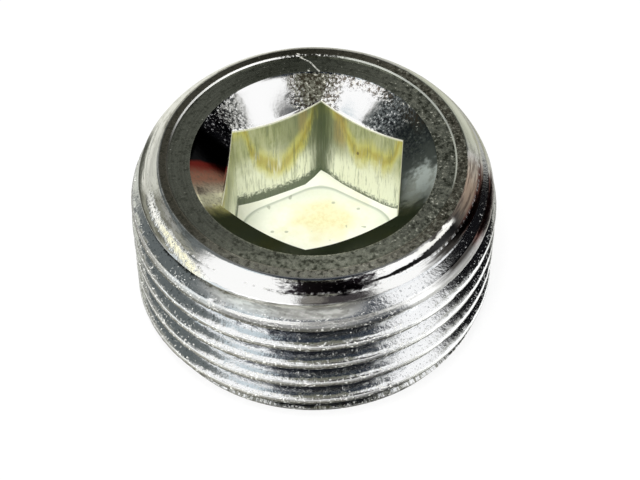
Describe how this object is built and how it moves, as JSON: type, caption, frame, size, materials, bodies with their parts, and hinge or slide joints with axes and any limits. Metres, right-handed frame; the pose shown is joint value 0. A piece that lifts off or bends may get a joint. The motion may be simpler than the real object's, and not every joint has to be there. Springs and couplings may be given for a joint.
{
  "type": "drain plug",
  "caption": "Headless threaded drain plug with a rounded shoulder, a countersunk top and a blind hexagon socket, closing a tapped drain hole flush with its face.",
  "frame": {"origin": "centre of the flat bottom end, on the thread's axis", "axes": "+Z along the thread's axis, out of the socket's mouth; the thread is right-handed about Z"},
  "size_m": [0.017, 0.017, 0.0085],
  "materials": {
    "zinc_plated_steel": "bright zinc plate over turned steel"
  },
  "bodies": {
    "root": {"drain_plug": "zinc_plated_steel"}
  },
  "joints": []
}
